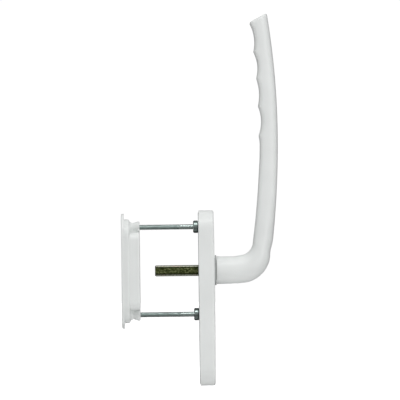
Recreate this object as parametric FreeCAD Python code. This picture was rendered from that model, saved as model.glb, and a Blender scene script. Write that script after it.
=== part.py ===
import FreeCAD, Part
import math
import os

from FreeCAD import Vector

# Handle set for a lift-and-slide patio door. Millimetres.
# Origin: the spindle's axis where it crosses the inner face of the door leaf.
# +X points into the room, +Z up, Y across the leaf. The lever is shown upright (door locked down).

# Fixing
LEAF = 68.0                  # door leaf thickness, between the inner plate and the flush pull
SCREW_RISE = 40.0            # each fixing screw above or below the spindle: 80 mm pitch
CYLINDER_DROP = 69.0         # spindle to profile cylinder

CUTOUT_GAP = 0.3             # the profile cylinder's cut-out is larger all round by this much
PROFILE_ROUND_R = 8.5        # the euro profile: a round over a slot with a round end
PROFILE_SLOT_HALF = 5.0
PROFILE_HEIGHT = 33.0

# Cover plate
PLATE_WIDTH = 35.0
PLATE_TOP = 54.9
PLATE_BOTTOM = -105.6
COVER_REAR = 0.4             # the base plate stands this far proud behind the cover
COVER_FRONT = 15.0           # at the crown's highest point
CROWN_Z = -33.0              # height of that point
CROWN_TOP = 0.66             # the front falls this far from there to the top end
CROWN_BOTTOM = 0.45          # and this far to the bottom end
COVER_WALL = 1.8
COVER_EDGE = 2.0             # front edge radius

# Base plate and what stands on it
BASE_THICK = 3.0
BASE_GAP = 0.15              # base plate outline inside the cover's wall
SPINDLE_HOLE = 8.0           # radius
HOUSING_FRONT = 12.0
HOUSING_WIDTH = 30.0
HOUSING_TOP = 25.0
HOUSING_BOTTOM = -31.0
POCKET_HALF = 13.2
POCKET_TOP = 15.0
POCKET_FRONT = 9.6
RIVET_R = 1.9
RIVET_HEAD_R = 3.2
RIVET_HEAD = 0.9
RIVET_SINK = 1.3
RIVETS = ((10.3, 20.3), (-10.3, 20.3), (10.3, -26.5), (-10.3, -26.5))
CLIP_HEIGHT = 5.0
CLIP_FRONT = 12.3
CLIP_PEG_R = 2.0
CLIP_WALL = 2.0
CLIP_FROM_TOP = 6.0          # clip centre to the cover's outer end
CLIP_FROM_BOTTOM = 6.4
CLIP_HALF_TOP = 7.0          # half widths that just meet the cover's round ends
CLIP_HALF_BOTTOM = 7.7

# Journal stack, from front to back
NECK_FACE = 16.6             # shoulder of the lever's neck
RING_FRONT = 16.4
RING_SEAT = 15.0             # the ring's flange rests on the cover here
RING_R = 13.75
RING_SLEEVE_R = 11.2
JOURNAL_R = 9.0
JOURNAL_END = 6.8
RUNNING = 0.05               # radial clearance of a running fit
BUSH_R = 10.5
BUSH_FLANGE_R = 12.5
BUSH_FLANGE = 0.9
WASHER_THICK = 0.6
WASHER_R = 12.4
CIRCLIP_THICK = 1.2
CIRCLIP_R = 11.4
CIRCLIP_INNER_R = 8.4
CIRCLIP_GAP = 2.0            # half width of its opening
CIRCLIP_EYE = (3.6, 10.4)    # centre of one eye across and above the axis
CIRCLIP_EYE_R = 2.0
CIRCLIP_EYE_HOLE_R = 0.9
GROOVE_R = 8.3
GROOVE_WIDTH = 1.3

# Detent
ROTOR_BACK = 3.2
ROTOR_FRONT = 6.6
ROTOR_R = 11.5
ROTOR_FLAT = 9.8
SPRING_STRIP = 1.0
SPRING_GAP = 0.06
SPRING_BOW_Z = -11.0
SPRING_TIP_Z = 12.5

# Spindle and grub screw
SPINDLE = 10.0               # across flats
SPINDLE_BACK = -39.8
SPINDLE_FRONT = 40.2
SPINDLE_CHAMFER = 1.0
SQUARE_FIT = 0.05            # clearance on each flat
GRUB_X = 32.5
GRUB_R = 3.0
GRUB_FACE = 1.2              # the grub screw's outer end lies this far inside the neck
GRUB_HEXAGON = 3.0           # across flats
GRUB_SOCKET = 3.0            # depth

# Support cams and fixing screws
CAM_R = 5.7
CAM_LENGTH = 4.5
CAM_CHAMFER = 0.6
CAM_SPIGOT_R = 5.2
CAM_NECK = 0.5               # the stud narrows to the spigot over this length behind the plate
CAM_FLARE = 0.8              # chamfer of the plate's hole; the spigot is flared into the front one
SCREW_R = 2.5
SHANK_R = 2.25
SHANK_END = -16.5
SCREW_HEAD_R = 4.6
SCREW_HEAD_GAP = 0.1         # the countersink is larger than the head by this much
SCREW_BORE_R = 2.7
SCREW_TIP = -62.0
SCREW_TIP_CHAMFER = 0.8
RECESS_ARM = 2.3             # half length of the cross recess
RECESS_BLADE = 0.5           # half width of its arms
RECESS_DEPTH = 1.6

# Lever outline in the XZ plane
NECK_R = 12.7
NECK_WAIST_R = 12.5
NECK_WAIST_X = 27.0
INNER_BEND = (37.3, 26.2, 12.8)      # centre X, centre Z, radius of the inner side of the bend
OUTER_BEND = (38.5, 15.5, 27.5)      # the same for the outer side
BACK_X = 74.0                        # furthest point of the lever's outer face
BACK_Z = 123.5
BACK_R_ABOVE = 708.0
BACK_R_BELOW = 850.0
BACK_FOOT_Z = 28.4                   # below this height the outer face runs in towards the bend
BACK_FOOT_SLOPE = 0.075
BEND_WIDTH = 24.8
GRIP_WIDTH = 26.0
BEND_POWER = 2.6                     # superellipse powers: 2 is round, higher is squarer
GRIP_POWER = 4.0
BEND_TILT = -31.0                    # slope of the section plane where the bend ends
GRIP_TILT = 4.0
TIP_ANGLE = 28.3                     # the tip is cut at this angle
TIP_INNER = (48.9, 226.1)
TIP_LEAN = 0.36                      # the inner side runs back this much per millimetre below the tip
TIP_EDGE = 2.2
SECTION_POINTS = 40
# Inner side above the bend, (X, Z) from bottom to top, as far as the first ridge
GRIP_FOOT = ((50.75, 31.5), (51.7, 38.5), (52.7, 47.0), (53.7, 57.0), (54.7, 67.5), (55.6, 79.0),
             (56.4, 91.0), (57.1, 103.0), (57.3, 112.0), (57.1, 118.5))
# Finger grooves: (ridge X, ridge Z) from bottom to top, and the depth of the groove above each ridge
RIDGES = ((56.3, 122.5), (56.0, 149.5), (54.7, 175.0), (52.4, 199.1), TIP_INNER)
GROOVE_DEPTHS = (2.7, 1.9, 2.4, 2.55)

# Flush pull
PULL_FLANGE = 2.4
PULL_REACH = 52.6            # half height of the flange
PULL_HALF = 21.0             # half width
BEAD_REACH = 47.5
BEAD_HALF = 17.3
BEAD_DEPTH = 5.3
BEAD_EDGE = 2.0
FLANGE_EDGE = 1.2
CUP_REACH = 35.3
CUP_HALF = 16.5
CUP_TURN = 7.0               # radius of the cup's four upright corners
CUP_REAR = -53.5
CUP_WALL = 2.0
CUP_FLOOR = 1.9
CUP_RIM = 2.7                # width of the slightly proud rim round the cup's rear end
CUP_RIM_PROUD = 0.35
CUP_RIM_EDGE = 1.0
CUP_LIP = 1.2                # radius of the recess's front edge
CUP_CORNER = 4.0             # radius of the recess's floor
BOSS_FLARE_R = 6.2           # where a boss runs out into the bead
BOSS_FOOT_R = 5.1
BOSS_RIM_R = 5.4
BOSS_WAIST_R = 3.9
BOSS_WAIST_X = -60.0
BOSS_HOLE_END = -64.5
WEB_HALF = 3.2               # a web this thick each way joins each boss to the cup
WEB_REAR = 0.4               # it stops this far short of the cup's rear face


def disc(radius, x_from, x_to, y=0.0, z=0.0):
    """A cylinder along X."""
    return Part.makeCylinder(radius, x_to - x_from, Vector(x_from, y, z), Vector(1, 0, 0))


def cone(r_from, r_to, x_from, x_to, y=0.0, z=0.0):
    """A cone along X."""
    return Part.makeCone(r_from, r_to, x_to - x_from, Vector(x_from, y, z), Vector(1, 0, 0))


def block(x0, x1, y0, y1, z0, z1):
    return Part.makeBox(x1 - x0, y1 - y0, z1 - z0, Vector(x0, y0, z0))


def capsule(half_width, bottom, top, x_from, x_to):
    """A plate along X with straight sides and full round ends."""
    low = bottom + half_width
    high = top - half_width
    right_low = Vector(x_from, half_width, low)
    right_high = Vector(x_from, half_width, high)
    left_high = Vector(x_from, -half_width, high)
    left_low = Vector(x_from, -half_width, low)
    edges = [
        Part.LineSegment(right_low, right_high).toShape(),
        Part.Arc(right_high, Vector(x_from, 0, top), left_high).toShape(),
        Part.LineSegment(left_high, left_low).toShape(),
        Part.Arc(left_low, Vector(x_from, 0, bottom), right_low).toShape(),
    ]
    return Part.Face(Part.Wire(edges)).extrude(Vector(x_to - x_from, 0, 0))


def rounded_slab(half_width, reach, radius, x_from, x_to):
    """A plate along X with an oblong outline, centred on the spindle's axis, with rounded corners."""
    slab = block(x_from, x_to, -half_width, half_width, -reach, reach)
    corners = [e for e in slab.Edges if e.BoundBox.YLength < 0.01 and e.BoundBox.ZLength < 0.01]
    return slab.makeFillet(radius, corners)


def square_bar(across, x_from, x_to, chamfer=0.0):
    """A square bar along X on the spindle's axis, with chamfered long edges."""
    half = across / 2
    bar = block(x_from, x_to, -half, half, -half, half)
    if chamfer:
        long_edges = [e for e in bar.Edges if abs(e.tangentAt(e.FirstParameter).x) > 0.9]
        bar = bar.makeChamfer(chamfer, long_edges)
    return bar


def edges_at(shape, x, tolerance=0.01):
    """The edges of a shape that lie wholly in one plane across X."""
    found = []
    for edge in shape.Edges:
        box = edge.BoundBox
        if abs(box.XMin - x) < tolerance and abs(box.XMax - x) < tolerance:
            found.append(edge)
    return found


def front_edges(shape, behind):
    """The closed run of edges round the crowned front, all of it in front of the plane X = behind."""
    return [e for e in shape.Edges if e.BoundBox.XMin > behind]


def revolve_x(profile, y=0.0, z=0.0):
    """A solid of revolution about an axis along X, from (x, radius) points of a closed outline."""
    points = [Vector(x, y, z + r) for x, r in profile]
    points.append(points[0])
    face = Part.Face(Part.makePolygon(points))
    return face.revolve(Vector(0, y, z), Vector(1, 0, 0), 360)


def cylinder_cutout(grow, x_from, x_to):
    """The euro profile, grown all round."""
    round_r = PROFILE_ROUND_R + grow
    slot_half = PROFILE_SLOT_HALF + grow
    bottom = -CYLINDER_DROP + PROFILE_ROUND_R - PROFILE_HEIGHT - grow
    round_part = disc(round_r, x_from, x_to, z=-CYLINDER_DROP)
    slot = capsule(slot_half, bottom, -CYLINDER_DROP + slot_half, x_from, x_to)
    return round_part.fuse(slot).removeSplitter()


def crowned_plate(inset, front):
    """The plate's outline with a lengthwise crowned front, inset from the cover's outer surface."""
    top = PLATE_TOP - inset
    bottom = PLATE_BOTTOM + inset
    half = PLATE_WIDTH / 2 - inset
    slab = capsule(half, bottom, top, COVER_REAR, front + 1)
    low = Vector(front - CROWN_BOTTOM, -PLATE_WIDTH, PLATE_BOTTOM)
    crest = Vector(front, -PLATE_WIDTH, CROWN_Z)
    high = Vector(front - CROWN_TOP, -PLATE_WIDTH, PLATE_TOP)
    rear_high = Vector(COVER_REAR, -PLATE_WIDTH, PLATE_TOP)
    rear_low = Vector(COVER_REAR, -PLATE_WIDTH, PLATE_BOTTOM)
    edges = [
        Part.Arc(low, crest, high).toShape(),
        Part.LineSegment(high, rear_high).toShape(),
        Part.LineSegment(rear_high, rear_low).toShape(),
        Part.LineSegment(rear_low, low).toShape(),
    ]
    side = Part.Face(Part.Wire(edges)).extrude(Vector(0, 2 * PLATE_WIDTH, 0))
    return slab.common(side)


def make_cover_plate():
    outer = crowned_plate(0, COVER_FRONT)
    outer = outer.makeFillet(COVER_EDGE, front_edges(outer, COVER_FRONT - CROWN_TOP - 0.1))
    cover = outer.cut(crowned_plate(COVER_WALL, COVER_FRONT - COVER_WALL))
    cover = cover.cut(disc(RING_SLEEVE_R + 0.1, 0, COVER_FRONT + 1))
    return cover.cut(cylinder_cutout(CUTOUT_GAP, 0, COVER_FRONT + 1))


def make_base_plate():
    inset = COVER_WALL + BASE_GAP
    half = PLATE_WIDTH / 2 - inset
    plate = capsule(half, PLATE_BOTTOM + inset, PLATE_TOP - inset, 0, BASE_THICK)
    plate = plate.cut(disc(SPINDLE_HOLE, -1, BASE_THICK + 1))
    plate = plate.cut(cylinder_cutout(CUTOUT_GAP, -1, BASE_THICK + 1))
    for z in (SCREW_RISE, -SCREW_RISE):
        wide = CAM_SPIGOT_R + CAM_FLARE
        plate = plate.cut(disc(CAM_SPIGOT_R, -1, BASE_THICK + 1, z=z))
        plate = plate.cut(cone(wide, CAM_SPIGOT_R, 0, CAM_FLARE, z=z))
        plate = plate.cut(cone(CAM_SPIGOT_R, wide, BASE_THICK - CAM_FLARE, BASE_THICK, z=z))
    for y, z in RIVETS:
        plate = plate.cut(disc(RIVET_R, -1, BASE_THICK + 1, y, z))
        plate = plate.cut(cone(RIVET_HEAD_R, RIVET_R, 0, RIVET_SINK, y, z))
    for z in clip_centres():
        plate = plate.cut(disc(CLIP_PEG_R, -1, BASE_THICK + 1, z=z))
    return plate


def clip_centres():
    return (PLATE_TOP - CLIP_FROM_TOP, PLATE_BOTTOM + CLIP_FROM_BOTTOM)


def make_cover_clip(z, half_width):
    """A polyamide block with a peg in the base plate. Its outer corners grip the cover's round end."""
    body = block(BASE_THICK, CLIP_FRONT, -half_width, half_width, z - CLIP_HEIGHT / 2, z + CLIP_HEIGHT / 2)
    body = body.makeFillet(0.4, [e for e in body.Edges if e.BoundBox.XLength > 9])
    peg = disc(CLIP_PEG_R, 0.2, BASE_THICK, z=z)
    hollow_half = half_width - CLIP_WALL
    hollow = block(BASE_THICK + CLIP_WALL, CLIP_FRONT + 1, -hollow_half, hollow_half, z - 1, z + 1)
    return body.fuse(peg).cut(hollow).removeSplitter()


def make_bearing_housing():
    half = HOUSING_WIDTH / 2
    housing = block(BASE_THICK, HOUSING_FRONT, -half, half, HOUSING_BOTTOM, HOUSING_TOP)
    upright = [e for e in housing.Edges if e.BoundBox.XLength > 5]
    housing = housing.makeFillet(4.0, upright)
    housing = housing.makeChamfer(0.8, edges_at(housing, HOUSING_FRONT))
    bow = disc(POCKET_HALF, BASE_THICK - 1, JOURNAL_END, z=SPRING_BOW_Z)
    legs = block(BASE_THICK - 1, JOURNAL_END, -POCKET_HALF, POCKET_HALF, SPRING_BOW_Z, POCKET_TOP)
    legs = legs.makeFillet(3.0, [e for e in legs.Edges if e.BoundBox.XLength > 3 and e.BoundBox.ZMin > 0])
    housing = housing.cut(bow.fuse(legs))
    housing = housing.cut(disc(POCKET_HALF, BASE_THICK, POCKET_FRONT))
    housing = housing.cut(disc(BUSH_R + 0.02, BASE_THICK, HOUSING_FRONT + 1))
    for y, z in RIVETS:
        housing = housing.cut(disc(RIVET_R, BASE_THICK - 1, HOUSING_FRONT + 1, y, z))
    return housing


def make_housing_rivets():
    rivets = []
    for y, z in RIVETS:
        shank = disc(RIVET_R, 0, HOUSING_FRONT, y, z)
        sunk = cone(RIVET_HEAD_R, RIVET_R, 0, RIVET_SINK, y, z)
        head = disc(RIVET_HEAD_R, HOUSING_FRONT, HOUSING_FRONT + RIVET_HEAD, y, z)
        head = head.makeFillet(0.6, edges_at(head, HOUSING_FRONT + RIVET_HEAD))
        rivets.append(shank.fuse([sunk, head]).removeSplitter())
    return Part.makeCompound(rivets)


def make_neck_ring():
    flange = disc(RING_R, RING_SEAT, RING_FRONT)
    flange = flange.makeFillet(0.7, edges_at(flange, RING_FRONT))
    sleeve = disc(RING_SLEEVE_R, HOUSING_FRONT + BUSH_FLANGE + 0.1, RING_SEAT)
    bore = disc(JOURNAL_R + RUNNING, 0, RING_FRONT + 1)
    return flange.fuse(sleeve).cut(bore).removeSplitter()


def make_bearing_bush():
    sleeve = disc(BUSH_R, POCKET_FRONT, HOUSING_FRONT)
    flange = disc(BUSH_FLANGE_R, HOUSING_FRONT, HOUSING_FRONT + BUSH_FLANGE)
    bore = disc(JOURNAL_R + RUNNING, 0, RING_FRONT)
    return sleeve.fuse(flange).cut(bore).removeSplitter()


def make_thrust_washer():
    washer = disc(WASHER_R, POCKET_FRONT - WASHER_THICK, POCKET_FRONT)
    return washer.cut(disc(JOURNAL_R + 0.1, 0, HOUSING_FRONT))


def make_retaining_ring():
    """An external circlip with two eyes, open towards +Z."""
    front = POCKET_FRONT - WASHER_THICK - 0.02
    back = front - CIRCLIP_THICK
    ring = disc(CIRCLIP_R, back, front).cut(disc(CIRCLIP_INNER_R, back - 1, front + 1))
    ring = ring.cut(block(back - 1, front + 1, -CIRCLIP_GAP, CIRCLIP_GAP, 0, CIRCLIP_R + 1))
    for side in (-1, 1):
        eye_y = side * CIRCLIP_EYE[0]
        eye_z = CIRCLIP_EYE[1]
        eye = disc(CIRCLIP_EYE_R, back, front, eye_y, eye_z)
        ring = ring.fuse(eye).cut(disc(CIRCLIP_EYE_HOLE_R, back - 1, front + 1, eye_y, eye_z))
    return ring.removeSplitter()


def make_detent_rotor():
    rotor = disc(ROTOR_R, ROTOR_BACK, ROTOR_FRONT)
    tall = 2 * ROTOR_R
    rotor = rotor.common(block(0, 10, -ROTOR_FLAT, ROTOR_FLAT, -tall, tall))
    bore = square_bar(SPINDLE + 2 * SQUARE_FIT, 0, 10, SPINDLE_CHAMFER - 0.1)
    return rotor.cut(bore)


def make_detent_spring():
    """A U of spring strip: two legs on the rotor's flats, joined by a bow below."""
    inner = ROTOR_FLAT + SPRING_GAP
    outer = inner + SPRING_STRIP
    back = ROTOR_BACK + 0.2
    front = ROTOR_FRONT - 0.2
    bow = disc(outer, back, front, z=SPRING_BOW_Z).cut(disc(inner, 0, 10, z=SPRING_BOW_Z))
    bow = bow.common(block(0, 10, -outer, outer, SPRING_BOW_Z - outer, SPRING_BOW_Z))
    spring = bow
    for side in (-1, 1):
        y0 = min(side * inner, side * outer)
        leg = block(back, front, y0, y0 + SPRING_STRIP, SPRING_BOW_Z, SPRING_TIP_Z)
        spring = spring.fuse(leg)
    return spring.removeSplitter()


def make_spindle():
    bar = square_bar(SPINDLE, SPINDLE_BACK, SPINDLE_FRONT, SPINDLE_CHAMFER)
    ends = edges_at(bar, SPINDLE_BACK) + edges_at(bar, SPINDLE_FRONT)
    return bar.makeChamfer(0.9, ends)


def make_grub_screw():
    """A flat-point set screw pressed up on the spindle's lower flat, with a hexagon socket."""
    low = lever_underside(GRUB_X) + GRUB_FACE
    high = -SPINDLE / 2
    body = Part.makeCylinder(GRUB_R, high - low, Vector(GRUB_X, 0, low), Vector(0, 0, 1))
    rims = [e for e in body.Edges if e.BoundBox.ZLength < 0.01]
    body = body.makeChamfer(0.5, rims)
    corner = GRUB_HEXAGON / 2 / math.cos(math.radians(30))
    points = []
    for i in range(7):
        turn = math.radians(60 * i)
        points.append(Vector(GRUB_X + corner * math.cos(turn), corner * math.sin(turn), low - 1))
    socket = Part.Face(Part.makePolygon(points)).extrude(Vector(0, 0, GRUB_SOCKET + 1))
    return body.cut(socket)


def make_support_cam(z):
    """A turned sleeve: the stud sits in the leaf, the spigot in the base plate, the screw inside."""
    sink_r = SCREW_HEAD_R + SCREW_HEAD_GAP
    outline = [
        (-CAM_LENGTH, SCREW_BORE_R),
        (-CAM_LENGTH, CAM_R - CAM_CHAMFER),
        (-CAM_LENGTH + CAM_CHAMFER, CAM_R),
        (-CAM_NECK, CAM_R),
        (0, CAM_SPIGOT_R),
        (BASE_THICK - CAM_FLARE, CAM_SPIGOT_R),
        (BASE_THICK, CAM_SPIGOT_R + CAM_FLARE),
        (BASE_THICK, sink_r),
        (BASE_THICK - (sink_r - SCREW_BORE_R), SCREW_BORE_R),
    ]
    return revolve_x(outline, z=z)


def make_fixing_screw(z):
    """M5 countersunk screw: the thread is its outer cylinder, the reduced shank is by the head."""
    cone_depth = SCREW_HEAD_R - SHANK_R
    rim = BASE_THICK - SCREW_HEAD_GAP
    outline = [
        (SCREW_TIP, 0),
        (SCREW_TIP, SCREW_R - SCREW_TIP_CHAMFER),
        (SCREW_TIP + SCREW_TIP_CHAMFER, SCREW_R),
        (SHANK_END - (SCREW_R - SHANK_R), SCREW_R),
        (SHANK_END, SHANK_R),
        (rim - cone_depth, SHANK_R),
        (rim, SCREW_HEAD_R),
        (BASE_THICK, SCREW_HEAD_R),
        (BASE_THICK, 0),
    ]
    screw = revolve_x(outline, z=z)
    floor = BASE_THICK - RECESS_DEPTH
    arm = RECESS_ARM
    blade = RECESS_BLADE
    recess = block(floor, BASE_THICK + 1, -arm, arm, z - blade, z + blade)
    recess = recess.fuse(block(floor, BASE_THICK + 1, -blade, blade, z - arm, z + arm))
    return screw.cut(recess)


def lever_underside(x):
    """Height of the neck's underside, which swells slightly towards its ends."""
    from_waist = (x - NECK_WAIST_X) / (NECK_WAIST_X - NECK_FACE)
    return -(NECK_WAIST_R + (NECK_R - NECK_WAIST_R) * from_waist ** 2)


def back_x(z):
    """X of the lever's outer face at a height above the bend."""
    radius = BACK_R_ABOVE if z > BACK_Z else BACK_R_BELOW
    pulled_in = BACK_FOOT_SLOPE * max(0.0, BACK_FOOT_Z - z)
    return BACK_X - (z - BACK_Z) ** 2 / (2 * radius) - pulled_in


def across(inner_x, inner_z, tilt):
    """The point of the outer face that a section from the inner face meets at this tilt."""
    slope = math.tan(math.radians(tilt))
    outer_z = inner_z
    for _ in range(12):
        outer_z = inner_z + slope * (back_x(outer_z) - inner_x)
    return (back_x(outer_z), outer_z)


def smooth(t):
    t = min(max(t, 0.0), 1.0)
    return t * t * (3 - 2 * t)


def grip_tilt(z):
    """Slope of the section plane at a height: it follows the bend, then the grip, then the tip's cut."""
    from_bend = BEND_TILT * (1 - smooth((z - 22) / 56))
    along_grip = GRIP_TILT * smooth((z - 90) / 90)
    last_ridge = RIDGES[-2][1]
    to_tip = (TIP_ANGLE - GRIP_TILT) * smooth((z - last_ridge) / (TIP_INNER[1] - last_ridge))
    return from_bend + along_grip + to_tip


def grip_station(inner_x, inner_z, tilt=None):
    """One section of the grip: its inner and outer points, its width, and how square its corners are."""
    if tilt is None:
        tilt = grip_tilt(inner_z)
    outer = across(inner_x, inner_z, tilt)
    width = BEND_WIDTH + (GRIP_WIDTH - BEND_WIDTH) * smooth((inner_z - 60) / 60)
    power = BEND_POWER + (GRIP_POWER - BEND_POWER) * smooth((inner_z - 25) / 60)
    return ((inner_x, inner_z), outer, width, power)


def lever_stations():
    """Sections of the lever from the neck's shoulder to the tip."""
    stations = []
    for x in (NECK_FACE, 20.5, 24.0, 28.0, 32.5):
        r = -lever_underside(x)
        stations.append(((x, r), (x, -r), 2 * r, 2.0))
    bend_steps = 7
    for i in range(bend_steps + 1):
        t = i / bend_steps
        turn_in = math.radians(-90 + 90 * t)
        turn_out = math.radians(-90 + 92 * t)
        cx, cz, r = INNER_BEND
        inner = (cx + r * math.cos(turn_in), cz + r * math.sin(turn_in))
        cx, cz, r = OUTER_BEND
        outer = (cx + r * math.cos(turn_out), cz + r * math.sin(turn_out))
        width = 2 * NECK_WAIST_R + (BEND_WIDTH - 2 * NECK_WAIST_R) * t
        stations.append((inner, outer, width, 2.0 + (BEND_POWER - 2.0) * t))
    for x, z in GRIP_FOOT:
        stations.append(grip_station(x, z))
    for (x0, z0), (x1, z1), depth in zip(RIDGES, RIDGES[1:], GROOVE_DEPTHS):
        for t in (0.0, 0.1, 0.28, 0.5, 0.72, 0.88):
            x = x0 + (x1 - x0) * t + depth * 4 * t * (1 - t)
            stations.append(grip_station(x, z0 + (z1 - z0) * t))
    return stations


def section_ring(station, inset=0.0):
    """Points round one section, inset from its outline."""
    (xi, zi), (xo, zo), width, power = station
    depth = math.hypot(xo - xi, zo - zi)
    ux = (xo - xi) / depth
    uz = (zo - zi) / depth
    cx = (xi + xo) / 2
    cz = (zi + zo) / 2
    points = []
    for i in range(SECTION_POINTS):
        turn = 2 * math.pi * i / SECTION_POINTS
        c = math.cos(turn)
        s = math.sin(turn)
        rho = (abs(c) ** power + abs(s) ** power) ** (-1 / power)
        u = (depth / 2 - inset) * rho * c
        v = (width / 2 - inset) * rho * s
        points.append(Vector(cx + ux * u, v, cz + uz * u))
    return points


def spline(points, parameters, periodic):
    curve = Part.BSplineCurve()
    curve.interpolate(Points=points, Parameters=parameters, PeriodicFlag=periodic)
    return curve


def skin(rings):
    """A solid whose smooth surface passes through rings of points, with flat ends."""
    count = len(rings[0])
    turns = [i / count for i in range(count + 1)]
    around = [spline(ring, turns, True) for ring in rings]
    lengths = [0.0]
    for ring, next_ring in zip(rings, rings[1:]):
        mean_step = sum((q - p).Length for p, q in zip(ring, next_ring)) / count
        lengths.append(lengths[-1] + mean_step)
    ring_poles = [curve.getPoles() for curve in around]
    columns = [spline(list(column), lengths, False) for column in zip(*ring_poles)]
    poles = list(zip(*[column.getPoles() for column in columns]))
    surface = Part.BSplineSurface()
    surface.buildFromPolesMultsKnots(
        poles, columns[0].getMultiplicities(), around[0].getMultiplicities(),
        columns[0].getKnots(), around[0].getKnots(), False, True,
        columns[0].Degree, around[0].Degree)
    side = surface.toShape()
    faces = [side]
    for edge in side.Edges:
        if edge.isClosed() and not edge.isSeam(side):
            faces.append(Part.Face(Part.Wire([edge])))
    shell = Part.makeShell(faces)
    shell.sewShape()
    return Part.makeSolid(shell)


def tip_rings():
    """Sections that round the edge of the oblique tip, all in planes parallel to its face."""
    rings = []
    for turn in (0, 35, 62, 90):
        edge = math.radians(turn)
        inset = TIP_EDGE * (1 - math.cos(edge))
        drop = TIP_EDGE * (1 - math.sin(edge))
        station = grip_station(TIP_INNER[0] + TIP_LEAN * drop, TIP_INNER[1] - drop, TIP_ANGLE)
        rings.append(section_ring(station, inset))
    return rings


def make_lever():
    rings = [section_ring(station) for station in lever_stations()]
    body = skin(rings + tip_rings())
    journal = disc(JOURNAL_R, JOURNAL_END, NECK_FACE + 0.5)
    lever = body.fuse(journal)
    groove_front = POCKET_FRONT - WASHER_THICK
    groove = disc(JOURNAL_R + 1, groove_front - GROOVE_WIDTH, groove_front)
    groove = groove.cut(disc(GROOVE_R, 0, NECK_FACE))
    lever = lever.cut(groove)
    socket = square_bar(SPINDLE + 2 * SQUARE_FIT, 0, SPINDLE_FRONT + 0.5, SPINDLE_CHAMFER - 0.1)
    lever = lever.cut(socket)
    grub_hole = Part.makeCylinder(GRUB_R + 0.02, 12, Vector(GRUB_X, 0, -16), Vector(0, 0, 1))
    return lever.cut(grub_hole)


def make_flush_pull():
    outer_face = -LEAF - PULL_FLANGE
    flange = capsule(PULL_HALF, -PULL_REACH, PULL_REACH, outer_face, -LEAF)
    flange = flange.makeFillet(FLANGE_EDGE, edges_at(flange, outer_face))
    bead = capsule(BEAD_HALF, -BEAD_REACH, BEAD_REACH, -LEAF, -LEAF + BEAD_DEPTH)
    bead = bead.makeFillet(BEAD_EDGE, edges_at(bead, -LEAF + BEAD_DEPTH))
    proud = CUP_RIM_PROUD
    wall = rounded_slab(CUP_HALF - proud, CUP_REACH - proud, CUP_TURN - proud, -LEAF + 1, CUP_REAR - 1)
    rim = rounded_slab(CUP_HALF, CUP_REACH, CUP_TURN, CUP_REAR - CUP_RIM, CUP_REAR)
    rim = rim.makeFillet(CUP_RIM_EDGE, edges_at(rim, CUP_REAR))
    webs = block(-LEAF + 1, CUP_REAR - WEB_REAR, -WEB_HALF, WEB_HALF, -SCREW_RISE, SCREW_RISE)
    pull = flange.fuse([bead, wall, rim, webs])
    flare = -LEAF + BEAD_DEPTH - 1
    for z in (SCREW_RISE, -SCREW_RISE):
        boss = revolve_x([(flare, 0), (flare, BOSS_FLARE_R), (flare + 1.4, BOSS_FOOT_R),
                          (BOSS_WAIST_X, BOSS_WAIST_R), (CUP_REAR - 2.6, BOSS_RIM_R - 0.2),
                          (CUP_REAR - 1.6, BOSS_RIM_R), (CUP_REAR - 0.6, BOSS_RIM_R),
                          (CUP_REAR, BOSS_RIM_R - 0.6), (CUP_REAR, 0)], z=z)
        pull = pull.fuse(boss)
    half = CUP_HALF - CUP_WALL
    reach = CUP_REACH - CUP_WALL
    recess = rounded_slab(half, reach, CUP_TURN - CUP_WALL, outer_face - 1, CUP_REAR - CUP_FLOOR)
    recess = recess.makeFillet(CUP_CORNER, edges_at(recess, CUP_REAR - CUP_FLOOR))
    pull = pull.cut(recess)
    lip = edges_at(pull, outer_face)
    inner_lip = [e for e in lip if e.BoundBox.ZMax < reach + 0.5 and e.BoundBox.YMax < half + 0.5]
    pull = pull.makeFillet(CUP_LIP, inner_lip)
    for z in (SCREW_RISE, -SCREW_RISE):
        pull = pull.cut(disc(SCREW_R + 0.02, BOSS_HOLE_END, CUP_REAR + 1, z=z))
    return pull.removeSplitter()


def main():
    os.makedirs("parts", exist_ok=True)
    upper_clip_z, lower_clip_z = clip_centres()
    parts = {
        "lever": make_lever(),
        "lever_grub_screw": make_grub_screw(),
        "spindle": make_spindle(),
        "retaining_ring": make_retaining_ring(),
        "thrust_washer": make_thrust_washer(),
        "detent_rotor": make_detent_rotor(),
        "detent_spring": make_detent_spring(),
        "neck_ring": make_neck_ring(),
        "bearing_bush": make_bearing_bush(),
        "bearing_housing": make_bearing_housing(),
        "housing_rivets": make_housing_rivets(),
        "cover_plate": make_cover_plate(),
        "base_plate": make_base_plate(),
        "upper_cover_clip": make_cover_clip(upper_clip_z, CLIP_HALF_TOP),
        "lower_cover_clip": make_cover_clip(lower_clip_z, CLIP_HALF_BOTTOM),
        "upper_support_cam": make_support_cam(SCREW_RISE),
        "lower_support_cam": make_support_cam(-SCREW_RISE),
        "upper_fixing_screw": make_fixing_screw(SCREW_RISE),
        "lower_fixing_screw": make_fixing_screw(-SCREW_RISE),
        "flush_pull": make_flush_pull(),
    }
    for name, shape in parts.items():
        solids = len(shape.Solids)
        print(name, "solids", solids, "valid", shape.isValid(), "cm3", round(shape.Volume / 1000, 3))
        shape.exportStep("parts/" + name + ".step")


main()
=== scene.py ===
import math

import bmesh
import bpy
import numpy as np
from mathutils import Matrix, Vector
from mathutils.geometry import delaunay_2d_cdt


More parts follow.
